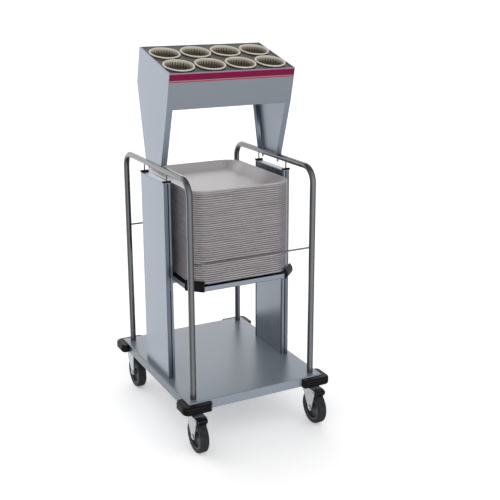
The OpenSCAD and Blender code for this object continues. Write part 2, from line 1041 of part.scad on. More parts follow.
// Dome nuts, with a saddle that seats round the underside of the rail
module dome_nuts() {
    nut_z = rail_z - tube_r - dome_nut_h;
    color(zinc)
        for (side = SIDES)
            at_side(side[1])
                difference() {
                    at_tower_bolts() {
                        translate([0, 0, nut_z])
                            cylinder(h = dome_nut_h + tube_wall, r = dome_nut_r);
                        translate([0, 0, nut_z])
                            sphere(dome_nut_r);
                    }
                    at_tower_bolts()
                        translate([0, 0, nut_z + bolt_end - slip_gap])
                            cylinder(h = tube_d, r = tower_bolt_d / 2 + slip_gap);
                    translate([frame_x, 0, rail_z])
                        rotate([90, 0, 0])
                            cylinder(h = deck_d, r = tube_r, center = true);
                }
}

module bin_front() {
    bin_in = inset(bin_corners, sheet_t);
    back = heading(front_top, back_top) * top_lip_w;
    color(stainless) {
        tower_plate([bin_corners[1], bin_corners[2], bin_in[2], bin_in[1]], -tower_in_x, tower_in_x);
        tower_plate(
            [bin_corners[1], bin_in[1], bin_in[1] + back, bin_corners[1] + back],
            top_lip_w - tower_in_x, tower_in_x - top_lip_w
        );
    }
}

module bin_back() {
    bin_in = inset(bin_corners, sheet_t);
    color(stainless)
        tower_plate(
            [bin_corners[3], bin_corners[4], bin_corners[0], bin_in[0], bin_in[4], bin_in[3]],
            -tower_in_x, tower_in_x
        );
}

module bin_floor() {
    bin_in = inset(bin_corners, sheet_t);
    color(dull_steel)
        tower_plate([bin_corners[2], bin_corners[3], bin_in[3], bin_in[2]], -tower_in_x, tower_in_x);
}

// The place of a cup: Z runs along its axis, from the panel's top face
module at_cup(row, column) {
    along = panel_l / 2 + cup_forward + (row - (cup_rows - 1) / 2) * cup_row_pitch;
    foot = back_top + heading(back_top, front_top) * along;
    translate([(column - (cup_columns - 1) / 2) * cup_pitch, foot[0], foot[1]])
        rotate([panel_slope, 0, 0])
            translate([0, 0, -sheet_t])
                children();
}

module cup_panel() {
    upper = inset(bin_corners, sheet_t);
    lower = inset(bin_corners, 2 * sheet_t);
    color(charcoal)
        difference() {
            tower_plate([upper[0], upper[1], lower[1], lower[0]], -tower_in_x, tower_in_x);
            for (cup = CUPS)
                at_cup(cup[1], cup[2])
                    translate([0, 0, -sheet_t - overrun])
                        cylinder(h = sheet_t + 2 * overrun, r = cup_mouth_r + cup_hole_gap);
        }
}

module cup(row, column) {
    color(ivory)
        at_cup(row, column)
            difference() {
                rotate_extrude() {
                    polygon([
                        [0, -cup_depth],
                        [cup_base_r, -cup_depth],
                        [cup_mouth_r, seat_gap + cup_bead_r],
                        [cup_mouth_r - cup_wall, seat_gap + cup_bead_r],
                        [cup_base_r - cup_wall, cup_base_t - cup_depth],
                        [0, cup_base_t - cup_depth]
                    ]);
                    translate([cup_rim_r - cup_bead_r, seat_gap + cup_bead_r])
                        circle(cup_bead_r);
                }
                for (i = [0 : cup_drains - 1])
                    rotate([0, 0, 360 * i / cup_drains])
                        translate([cup_drain_r, 0, -cup_depth - overrun])
                            cylinder(h = cup_base_t + 2 * overrun, d = cup_drain_d);
            }
}

placed() base_platform();
placed() base_stiffeners();
placed() castor_blocks();
placed() castor_heads();
placed() corner_bumpers();
placed() side_frame(-1);  // left_side_frame
placed() side_frame(1);  // right_side_frame
placed() foot_plugs();
placed() cross_rods();
placed() column_casing(-1);  // left_column_casing
placed() column_casing(1);  // right_column_casing
placed() column_panels();
placed() column_caps();
placed() column_clips();
placed() column_tie_rods();
placed() guide_rods();
placed() spring_hangers();
placed() lift_springs();
placed() lift_platform();
placed() lift_corner_guides();
placed() carriage(-1);  // left_carriage
placed() carriage(1);  // right_carriage
placed() carriage_glides();
placed() tray_stack();
placed() top_tray();
placed() tower_side(-1);  // left_tower_side
placed() tower_side(1);  // right_tower_side
placed() tower_bolts();
placed() dome_nuts();
placed() bin_front();
placed() bin_back();
placed() bin_floor();
placed() cup_panel();
for (castor = CASTORS)
    placed()
        translate([castor[1] * frame_x, castor[2] * frame_y, 0]) {
            fork(castor[2] < 0);
            axle();
            hub();
            tyre();
            if (castor[2] < 0) brake_pedal();
        }
for (cup = CUPS)
    placed() cup(cup[1], cup[2]);
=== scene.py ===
# %% [markdown]
# # A cutlery trolley, dressed for its picture
# The trolley stands in a canteen: trays ride on a sprung platform between two
# columns, and a raised bin holds cups of cutlery. The solids come from the
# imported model, which fixes every size and every joint. This script adds what
# makes them look like steel, rubber and moulded plastic, and the small pieces
# that a solid model leaves out. All lengths are metres, +Z is up and the front
# faces -Y.

# %% Load the frame
import json
import math

import bmesh
import bpy
from mathutils import Euler, Matrix, Vector


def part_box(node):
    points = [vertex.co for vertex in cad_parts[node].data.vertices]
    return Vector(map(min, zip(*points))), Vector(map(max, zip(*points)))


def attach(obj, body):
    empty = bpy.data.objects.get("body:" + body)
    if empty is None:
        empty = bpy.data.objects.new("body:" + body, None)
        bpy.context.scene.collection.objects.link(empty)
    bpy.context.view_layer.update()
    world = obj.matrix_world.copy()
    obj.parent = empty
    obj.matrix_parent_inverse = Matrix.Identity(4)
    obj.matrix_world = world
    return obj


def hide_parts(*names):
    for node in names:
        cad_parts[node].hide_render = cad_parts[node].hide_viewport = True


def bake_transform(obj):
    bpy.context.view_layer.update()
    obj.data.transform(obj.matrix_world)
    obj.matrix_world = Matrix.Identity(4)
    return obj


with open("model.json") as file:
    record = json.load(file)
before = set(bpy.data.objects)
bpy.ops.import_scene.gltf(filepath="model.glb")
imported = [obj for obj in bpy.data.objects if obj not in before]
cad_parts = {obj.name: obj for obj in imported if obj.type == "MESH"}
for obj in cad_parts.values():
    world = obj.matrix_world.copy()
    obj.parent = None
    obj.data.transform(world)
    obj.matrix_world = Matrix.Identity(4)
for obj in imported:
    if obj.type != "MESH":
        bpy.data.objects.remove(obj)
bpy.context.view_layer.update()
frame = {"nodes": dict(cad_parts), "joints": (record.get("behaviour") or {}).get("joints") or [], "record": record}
NODES = frame["nodes"]
BODY_OF = {
    node: body
    for body, members in frame["record"]["behaviour"]["bodies"].items()
    for node in members
}

# %% [markdown]
# ## Camera
# The picture was taken from the front left, a little above the cups. The place,
# heading and lens below were worked out from straight edges of the trolley whose
# sizes are known, so the render lines up with the picture. A small vertical shift
# keeps the uprights close to parallel without moving the trolley out of frame.

# %% Set the camera
CAMERA_PLACE = Vector((-1.3761, -2.89875, 1.5975))
CAMERA_HEADING = math.radians(27.49)
CAMERA_PITCH = math.radians(-15.35)
CAMERA_ROLL = math.radians(-0.09)
CAMERA_LENS = 64.139
CAMERA_SHIFT = -0.05
CAMERA_REACH = 400.0
SENSOR = 36.0


def add_camera():
    data = bpy.data.cameras.new("view")
    data.sensor_width = SENSOR
    data.lens = CAMERA_LENS
    data.shift_y = CAMERA_SHIFT
    data.clip_end = CAMERA_REACH
    camera = bpy.data.objects.new("view", data)
    turn = Euler((math.pi / 2 + CAMERA_PITCH, 0, -CAMERA_HEADING)).to_matrix()
    camera.matrix_world = Matrix.Translation(CAMERA_PLACE) @ (
        turn @ Matrix.Rotation(CAMERA_ROLL, 3, "Z")
    ).to_4x4()
    bpy.context.scene.collection.objects.link(camera)
    bpy.context.scene.camera = camera
    return camera


print("camera at", tuple(round(v, 3) for v in add_camera().location))

# %% [markdown]
# ## A bench for node trees
# Materials and geometry trees are both built from nodes. One small class adds a
# node, applies its settings and then fills or links its sockets. A second class
# wraps a socket, so that arithmetic in Python adds the Math nodes by itself.


# %% Node bench
class Flow:
    """A number on its way through a node tree."""

    def __init__(self, bench, socket):
        self.bench = bench
        self.socket = socket

    def math(self, operation, first, second=0.0, clamp=False):
        settings = {"operation": operation, "use_clamp": clamp}
        return self.bench.flow(self.bench.add("ShaderNodeMath", settings, {0: first, 1: second}))

    def __add__(self, other):
        return self.math("ADD", self, other)

    def __radd__(self, other):
        return self.math("ADD", other, self)

    def __sub__(self, other):
        return self.math("SUBTRACT", self, other)

    def __rsub__(self, other):
        return self.math("SUBTRACT", other, self)

    def __mul__(self, other):
        return self.math("MULTIPLY", self, other)

    def __rmul__(self, other):
        return self.math("MULTIPLY", other, self)

    def __truediv__(self, other):
        return self.math("DIVIDE", self, other)

    def __rtruediv__(self, other):
        return self.math("DIVIDE", other, self)

    def __mod__(self, other):
        return self.math("FLOORED_MODULO", self, other)

    def __gt__(self, other):
        return self.math("GREATER_THAN", self, other)

    def __lt__(self, other):
        return self.math("LESS_THAN", self, other)

    def clamped(self):
        return self.math("ADD", self, 0.0, clamp=True)

    def raised(self, power):
        return self.math("POWER", self, power)

    def floored(self):
        return self.math("FLOOR", self)

    def cosine(self):
        return self.math("COSINE", self)

    def sine(self):
        return self.math("SINE", self)


class Bench:
    """A node tree with one way to add a node."""

    def __init__(self, tree):
        self.tree = tree

    def add(self, kind, settings=None, inputs=None):
        node = self.tree.nodes.new(kind)
        for name, value in (settings or {}).items():
            if name == "stops":
                self.set_stops(node.color_ramp, value)
            else:
                setattr(node, name, value)
        for key, value in (inputs or {}).items():
            self.feed(node.inputs[key], value)
        return node

    def feed(self, socket, value):
        if isinstance(value, Flow):
            self.tree.links.new(value.socket, socket)
        else:
            socket.default_value = value

    def flow(self, node, output=0):
        return Flow(self, node.outputs[output])

    @staticmethod
    def set_stops(ramp, stops):
        while len(ramp.elements) < len(stops):
            ramp.elements.new(1.0)
        for element, (place, grey) in zip(ramp.elements, stops):
            element.position = place
            element.color = (grey, grey, grey, 1)


print("node bench ready")

# %% [markdown]
# ## Finishes
# A finish is a procedural material on Object coordinates, so a pattern keeps its
# real size on every piece. Each finish starts from the same three helpers: a
# noise at a given scale, a blend of two colours, and a fine bump. The numbers
# that don't vary, such as how metallic a sheet is, are set on the shader itself.


# %% Finish class
class Finish(Bench):
    """One procedural material."""

    def __init__(self, name):
        self.material = bpy.data.materials.new(name)
        self.material.use_nodes = True
        super().__init__(self.material.node_tree)
        self.shader = self.tree.nodes["Principled BSDF"]
        self.place = self.flow(self.add("ShaderNodeTexCoord"), "Object")

    def stretched(self, scale, turn=(0, 0, 0)):
        inputs = {"Vector": self.place, "Scale": scale, "Rotation": turn}
        return self.flow(self.add("ShaderNodeMapping", None, inputs))

    def noise(self, scale, detail=2.0, vector=None):
        inputs = {"Vector": vector or self.place, "Scale": scale, "Detail": detail}
        return self.flow(self.add("ShaderNodeTexNoise", None, inputs), "Fac")

    def cells(self, scale):
        inputs = {"Vector": self.place, "Scale": scale}
        return self.flow(self.add("ShaderNodeTexVoronoi", None, inputs), "Distance")

    def blend(self, share, first, second):
        inputs = {0: share, 6: first, 7: second}
        node = self.add("ShaderNodeMix", {"data_type": "RGBA", "clamp_factor": True}, inputs)
        return self.flow(node, 2)

    def stepped(self, value, stops):
        return self.flow(self.add("ShaderNodeValToRGB", {"stops": stops}, {0: value}))

    def bump(self, height, strength, depth):
        inputs = {"Height": height, "Strength": strength, "Distance": depth}
        self.feed(self.shader.inputs["Normal"], self.flow(self.add("ShaderNodeBump", None, inputs)))

    def set(self, **values):
        for name, value in values.items():
            self.feed(self.shader.inputs[name.replace("_", " ")], value)
        return self.material


def tinted(colour, share):
    """A colour made lighter or darker by a share, with its alpha."""
    return tuple(min(1.0, part * share) for part in colour) + (1.0,)


print("finish class ready")

# %% [markdown]
# ### Satin stainless sheet
# The deck, columns and bin are folded from stainless sheet with a fine grain. A
# noise stretched far along one axis gives the grain lines, and a second, large
# and slow noise gives the cloudy look of handled sheet. Part of the surface answer
# is metallic, so broad lights shade it softly instead of mirroring hard edges. Painted
# shade darkens the deck's side ends and the columns' front and back faces.


# %% Steel finishes
EDGE_DEPTH = 0.0012
GRAIN_ACROSS = 2200.0
GRAIN_ALONG = 6.0


def sheet_steel(name, colour, grain, rough=0.36, metal=0.6, edges=None):
    """Brushed sheet along the grain's axis, with painted shade on the two ends of another axis."""
    finish = Finish(name)
    lines_scale = [GRAIN_ACROSS] * 3
    lines_scale["XYZ".index(grain)] = GRAIN_ALONG
    lines = finish.noise(1.0, 3.0, finish.stretched(lines_scale))
    cloud = finish.noise(4.0, 3.0)
    tone = 0.7 * cloud + 0.3 * lines
    finish.bump(lines, 0.03, 0.0001)
    shown = finish.blend(tone, tinted(colour, 0.86), tinted(colour, 1.12))
    # Painted shade: near the two ends along the axis the sheet gets a darker colour and full metal.
    if edges:
        axis, low, high, share = edges
        spot = finish.add("ShaderNodeSeparateXYZ", None, {0: finish.place})
        off_middle = finish.flow(spot, axis) - (low + high) / 2
        reach = (high - low) / 2 - EDGE_DEPTH
        painted_shade = off_middle * off_middle > reach * reach
        shown = finish.blend(painted_shade * (1.0 - 0.3 * cloud), shown, tinted(colour, share))
        metal = metal + (1.0 - metal) * painted_shade
    return finish.set(
        Base_Color=shown,
        Roughness=rough + 0.12 * (lines - 0.5) + 0.12 * (cloud - 0.5),
        Metallic=metal,
    )


def drawn_tube(name, colour):
    """Bright tube: fine rings from polishing, and faint handling marks."""
    finish = Finish(name)
    rings = finish.noise(1.0, 2.0, finish.stretched((60.0, 60.0, 1400.0)))
    marks = finish.noise(14.0, 4.0)
    finish.bump(rings, 0.02, 0.0001)
    return finish.set(
        Base_Color=finish.blend(marks, tinted(colour, 0.88), tinted(colour, 1.08)),
        Roughness=0.22 + 0.12 * marks + 0.08 * (rings - 0.5),
        Metallic=0.95,
    )


def zinc_plate(name, colour):
    """Plated pressings, with the faint spangle of zinc."""
    finish = Finish(name)
    spangle = finish.cells(260.0)
    cloud = finish.noise(30.0, 3.0)
    finish.bump(cloud, 0.06, 0.0003)
    return finish.set(
        Base_Color=finish.blend(spangle, tinted(colour, 1.08), tinted(colour, 0.84)),
        Roughness=0.30 + 0.18 * cloud,
        Metallic=0.7,
    )


STEEL = (0.172, 0.199, 0.240)


def painted_shade_ends(node, axis, share):
    """The two ends of a solid along an axis, and how dark the painted shade on them is."""
    low, high = (corner["XYZ".index(axis)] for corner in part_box(node))
    return axis, low, high, share


finishes = {
    # The deck's side ends and the columns' front and back faces carry painted shade.
    "deck": sheet_steel(
        "deck_satin_steel",
        (0.174, 0.202, 0.237),
        "X",
        rough=0.34,
        metal=0.35,
        edges=painted_shade_ends("base_platform", "X", 0.26),
    ),
    "column": sheet_steel(
        "column_satin_steel", STEEL, "Z", edges=painted_shade_ends("left_column_casing", "Y", 0.5)
    ),
    "tower": sheet_steel("tower_satin_steel", STEEL, "Z"),
    # The bin's sheet is a darker copy of the tower's steel: painted shade.
    "bin": sheet_steel("bin_satin_steel", (0.160, 0.182, 0.208), "X"),
    "inner": sheet_steel("inner_dull_steel", (0.132, 0.155, 0.188), "Z", rough=0.27),
    "tube": drawn_tube("polished_tube", (0.105, 0.11, 0.115)),
    "zinc": zinc_plate("zinc_plate", (0.30, 0.315, 0.33)),
}
steel_count = len(finishes)
print("steel finishes:", ", ".join(finishes))

# %% [markdown]
# ### Plastics and rubber
# Each moulding gets a grain that suits it: a pebbled skin on the bumpers, a fine
# speckle on the trays, scuffs on the tyres and a soft sheen on the cups. The cup
# panel is sheet with a dark coat, so it keeps a trace of brushed lines.


# %% Plastic and rubber finishes
AXIS_OF = {joint["child"]: Vector(joint["axis"]).normalized() for joint in frame["joints"]}
CUP_NODES = sorted(node for node in NODES if "_cup_" in node)
CUP_AXIS = AXIS_OF[BODY_OF[CUP_NODES[0]]]
CUP_TOP = max(vertex.co.dot(CUP_AXIS) for vertex in NODES[CUP_NODES[0]].data.vertices)
TRAY_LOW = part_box("tray_stack")[0][2]
TRAY_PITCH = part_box("top_tray")[1][2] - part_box("tray_stack")[1][2]


def moulded(name, colour, rough, grain_scale, depth, gloss=0.1):
    """Moulded plastic or rubber with a pebbled skin."""
    finish = Finish(name)
    pebbles = finish.cells(grain_scale)
    dust = finish.noise(18.0, 4.0)
    finish.bump(pebbles, 0.25, depth)
    return finish.set(
        Base_Color=finish.blend(dust, tinted(colour, 0.8), tinted(colour, 1.35)),
        Roughness=rough + 0.14 * (dust - 0.5),
        Specular_IOR_Level=gloss,
    )


def tyre_rubber(name, colour):
    """Grey tread rubber, scuffed where it has rolled."""
    finish = Finish(name)
    scuffs = finish.noise(1.0, 5.0, finish.stretched((240.0, 60.0, 60.0)))
    marks = finish.stepped(scuffs, [(0.42, 0.0), (0.72, 1.0)])
    finish.bump(scuffs, 0.3, 0.0004)
    return finish.set(
        Base_Color=finish.blend(marks, tinted(colour, 0.85), tinted(colour, 1.6)),
        Roughness=0.62 + 0.2 * (scuffs - 0.5),
        Specular_IOR_Level=0.08,
    )


def tray_plastic(name, colour, stacked=False):
    """Pressed tray: a close speckle over a slow change of tone, and on a stacked tray painted shade low on each
    lip.
    """
    finish = Finish(name)
    speckle = finish.stepped(finish.noise(1500.0, 1.0), [(0.38, 0.0), (0.62, 1.0)])
    cloud = finish.noise(5.0, 3.0)
    grain = finish.noise(2600.0, 1.0)
    finish.bump(grain, 0.12, 0.0002)
    tone = finish.blend(0.55 * speckle + 0.45 * cloud, tinted(colour, 0.84), tinted(colour, 1.14))
    # Painted shade: the lower part of each stacked lip and the gap below it are made dark, with a wavy border.
    if stacked:
        spot = finish.add("ShaderNodeSeparateXYZ", None, {0: finish.place})
        sway = finish.noise(1.0, 2.0, finish.stretched((11.0, 11.0, 125.0))) - 0.5
        up_lip = ((finish.flow(spot, "Z") - TRAY_LOW) / TRAY_PITCH + 0.7 * sway) % 1.0
        shadow = finish.stepped(up_lip, [(0.10, 0.0), (0.45, 1.0)])
        tone = finish.blend(shadow, tinted(colour, 0.18), tone)
    return finish.set(Base_Color=tone, Roughness=0.28 + 0.12 * cloud)


def cup_plastic(name, rim, base):
    """Ivory cup with painted shade, a dark brown, inside it below the rim."""
    finish = Finish(name)
    spot = finish.add("ShaderNodeSeparateXYZ", None, {0: finish.place})
    side, height = CUP_AXIS.y, CUP_AXIS.z
    depth = CUP_TOP - (side * finish.flow(spot, "Y") + height * finish.flow(spot, "Z"))
    cloud = finish.noise(40.0, 3.0)
    # Painted shade: the colour goes from the rim's ivory to dark brown with depth in the cup.
    painted_inside_shade = ((depth - 0.004) / 0.016 + 0.5 * (cloud - 0.5)).clamped()
    finish.bump(cloud, 0.1, 0.0003)
    return finish.set(
        Base_Color=finish.blend(painted_inside_shade, tinted(rim, 1.0), tinted(base, 1.0)),
        Roughness=0.36 + 0.16 * cloud,
    )


def printed(name, colour):
    """Printed film: flat colour with a faint wear."""
    finish = Finish(name)
    wear = finish.noise(60.0, 4.0)
    return finish.set(
        Base_Color=finish.blend(wear, tinted(colour, 0.93), tinted(colour, 1.07)),
        Roughness=0.36 + 0.1 * wear,
        Specular_IOR_Level=0.1,
    )


def coated_panel(name, colour):
    """Dark coated sheet with a trace of the grain below."""
    finish = Finish(name)
    lines = finish.noise(1.0, 2.0, finish.stretched((8.0, 700.0, 700.0)))
    cloud = finish.noise(9.0, 3.0)
    finish.bump(lines, 0.06, 0.0002)
    return finish.set(
        Base_Color=finish.blend(cloud, tinted(colour, 0.85), tinted(colour, 1.25)),
        Roughness=0.36 + 0.14 * (lines - 0.5),
        Specular_IOR_Level=0.12,
    )


finishes.update(
    bumper=moulded("bumper_rubber", (0.0034, 0.0036, 0.0042), 0.42, 900.0, 0.0003),
    black=moulded("black_moulding", (0.0036, 0.0036, 0.004), 0.38, 1400.0, 0.0002),
    hub=moulded("hub_moulding", (0.045, 0.047, 0.05), 0.45, 1200.0, 0.0002),
    tyre=tyre_rubber("tyre_rubber", (0.020, 0.021, 0.023)),
    tray=tray_plastic("tray_plastic", (0.30, 0.277, 0.288)),
    # The stacked trays take the tray colour made darker: painted shade.
    stack=tray_plastic("stacked_tray_plastic", (0.27, 0.249, 0.259), stacked=True),
    panel=coated_panel("cup_panel_coat", (0.008, 0.009, 0.0098)),
    # The cup's second colour is the dark brown of the painted shade inside it.
    cup=cup_plastic("cup_plastic", (0.55, 0.51, 0.43), (0.12, 0.096, 0.066)),
    plum=printed("band_plum", (0.145, 0.002, 0.034)),
    raspberry=printed("band_raspberry", (0.42, 0.016, 0.045)),
)
print("plastic finishes:", ", ".join(list(finishes)[steel_count:]))

# %% [markdown]
# ## Finish every solid
# Each solid takes the finish of the real piece. Folded sheet and mouldings never
# have knife edges, so those solids are copied, their triangles joined to whole
# faces, and their edges rounded a little; the copy then stands in for the solid.
# Round rods and tubes are only smoothed, because they have no edges to round, and so
# are the tower's sides, whose narrow folds leave no room for it. The lift's springs
# hang between two bodies, so their copy is tied to neither and stays where it is.

# %% Finish table
FINISH_OF = {
    "base_platform": ("deck", 0.0006),
    "base_stiffeners": ("inner", 0.0),
    "castor_blocks": ("inner", 0.0008),
    "castor_heads": ("zinc", 0.0008),
    "corner_bumpers": ("bumper", 0.0016),
    "left_side_frame": ("tube", 0.0),
    "right_side_frame": ("tube", 0.0),
    "foot_plugs": ("inner", 0.0),
    "cross_rods": ("tube", 0.0),
    "left_column_casing": ("column", 0.0005),
    "right_column_casing": ("column", 0.0005),
    "column_panels": ("inner", 0.0005),
    "column_caps": ("tower", 0.0008),
    "column_clips": ("black", 0.0012),
    "column_tie_rods": ("tube", 0.0),
    "guide_rods": ("zinc", 0.0),
    "spring_hangers": ("inner", 0.0),
    "lift_springs": ("zinc", 0.0),
    "lift_platform": ("tower", 0.0004),
    "lift_corner_guides": ("black", 0.0014),
    "left_carriage": ("inner", 0.0006),
    "right_carriage": ("inner", 0.0006),
    "carriage_glides": ("black", 0.0),
    "tray_stack": ("stack", 0.0005),
    "top_tray": ("tray", 0.0008),
    "left_tower_side": ("tower", 0.0),
    "right_tower_side": ("tower", 0.0),
    "tower_bolts": ("zinc", 0.0006),
    "dome_nuts": ("zinc", 0.0),
    "bin_front": ("bin", 0.0006),
    "bin_back": ("bin", 0.0006),
    "bin_floor": ("inner", 0.0004),
    "cup_panel": ("panel", 0.0004),
}
CASTOR_FINISH = {
    "fork": ("zinc", 0.0007),
    "axle": ("zinc", 0.0008),
    "hub": ("hub", 0.0008),
    "tyre": ("tyre", 0.0),
    "brake_pedal": ("black", 0.0010),
}
for node in NODES:
    for ending, finish in CASTOR_FINISH.items():
        if node.endswith("_" + ending):
            FINISH_OF[node] = finish
print(len(FINISH_OF), "solids with a finish,", len(CUP_NODES), "cups to come")


# %% Soft copies of the solids
SMOOTH_ANGLE = math.radians(32)
FLAT_ANGLE = math.radians(0.4)


def shade(mesh):
    mesh.polygons.foreach_set("use_smooth", [True] * len(mesh.polygons))
    mesh.set_sharp_from_angle(angle=SMOOTH_ANGLE)


def add_piece(name, mesh, material, body):
    """A finished piece at the origin and on its body if it has only one."""
    mesh.materials.clear()
    mesh.materials.append(material)
    piece = bpy.data.objects.new(name, mesh)
    bpy.context.scene.collection.objects.link(piece)
    if body:
        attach(piece, body)
    return piece


def applied(mesh, kind, settings):
    """The mesh with one modifier applied to it."""
    holder = bpy.data.objects.new("holder", mesh)
    bpy.context.scene.collection.objects.link(holder)
    modifier = holder.modifiers.new("step", kind)
    for name, value in settings.items():
        setattr(modifier, name, value)
    depsgraph = bpy.context.evaluated_depsgraph_get()
    result = bpy.data.meshes.new_from_object(holder.evaluated_get(depsgraph))
    bpy.data.objects.remove(holder)
    return result


def soft_mesh(node, width):
    """The solid's mesh with whole faces and rounded edges."""
    bm = bmesh.new()
    bm.from_mesh(NODES[node].data)
    bmesh.ops.remove_doubles(bm, verts=bm.verts, dist=1e-6)
    bmesh.ops.dissolve_limit(
        bm, angle_limit=FLAT_ANGLE, verts=bm.verts, edges=bm.edges, use_dissolve_boundaries=False
    )
    mesh = bpy.data.meshes.new(node + "_soft")
    bm.to_mesh(mesh)
    bm.free()
    if width:
        rounded = {"width": width, "segments": 2, "limit_method": "ANGLE", "angle_limit": SMOOTH_ANGLE}
        mesh = applied(mesh, "BEVEL", rounded)
    shade(mesh)
    return applied(mesh, "WEIGHTED_NORMAL", {"keep_sharp": True})


for node, (finish, width) in FINISH_OF.items():
    body = None if node == "lift_springs" else BODY_OF[node]
    piece = add_piece(node + "_piece", soft_mesh(node, width), finishes[finish], body)
    if not body:
        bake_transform(piece)
    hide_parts(node)
print("soft copies:", len(FINISH_OF))

# %% [markdown]
# ## Perforated cups
# Cutlery cups drain and dry through slots in their walls. The wall follows a
# rule, so Geometry Nodes make it: a flat grid loses the faces where slots go, is
# rolled up into a cup, and is then thickened. The rim is a circle swept round a
# larger circle. One tree serves all the cups; only the place differs.


# %% Tree tools
class Plan(Bench):
    """A geometry tree with named inputs."""

    def __init__(self, name, sizes):
        tree = bpy.data.node_groups.new(name, "GeometryNodeTree")
        super().__init__(tree)
        self.socket_of = {}
        tree.interface.new_socket("Geometry", in_out="INPUT", socket_type="NodeSocketGeometry")
        for label, kind in sizes.items():
            item = tree.interface.new_socket(label, in_out="INPUT", socket_type=kind)
            self.socket_of[label] = item.identifier
        tree.interface.new_socket("Geometry", in_out="OUTPUT", socket_type="NodeSocketGeometry")
        self.given = tree.nodes.new("NodeGroupInput")

    def size(self, label):
        return self.flow(self.given, label)

    def end(self, shape):
        realized = self.flow(self.add("GeometryNodeRealizeInstances", None, {0: shape}))
        painted = self.add("GeometryNodeSetMaterial", None, {0: realized})
        self.feed(painted.inputs["Material"], self.size("Finish"))
        out = self.tree.nodes.new("NodeGroupOutput")
        self.feed(out.inputs[0], self.flow(painted))

    def joined(self, *shapes):
        node = self.add("GeometryNodeJoinGeometry")
        for shape in shapes:
            self.tree.links.new(shape.socket, node.inputs[0])
        return self.flow(node)

    def vector(self, x, y, z):
        return self.flow(self.add("ShaderNodeCombineXYZ", None, {0: x, 1: y, 2: z}))

    def grown(self, name, values, points=()):
        """The tree's result as a plain mesh, started from some points."""
        seed = bpy.data.meshes.new(name + "_seed")
        seed.from_pydata([tuple(point) for point in points], [], [])
        holder = bpy.data.objects.new(name + "_holder", seed)
        bpy.context.scene.collection.objects.link(holder)
        modifier = holder.modifiers.new("grow", "NODES")
        modifier.node_group = self.tree
        for label, value in values.items():
            modifier[self.socket_of[label]] = value
        depsgraph = bpy.context.evaluated_depsgraph_get()
        mesh = bpy.data.meshes.new_from_object(holder.evaluated_get(depsgraph))
        mesh.name = name
        bpy.data.objects.remove(holder)
        shade(mesh)
        return mesh


print("tree tools ready")


# %% Cup tree
CUP_COLUMNS = 96
CUP_BASE_ROWS = 4
CUP_WALL_ROWS = 22
CUP_ROWS = CUP_BASE_ROWS + CUP_WALL_ROWS
CUP_SLOT_STEP = 3
CUP_SLOT_ROWS = 7
CUP_BAR_ROWS = 2
CUP_DRAIN_STEP = 16
CUP_DRAIN_COLUMNS = 6
CUP_DRAIN_ROW = 2
CUP_MIDDLE_SHARE = 0.06
HALF = 0.5
MERGE_DISTANCE = 1e-5


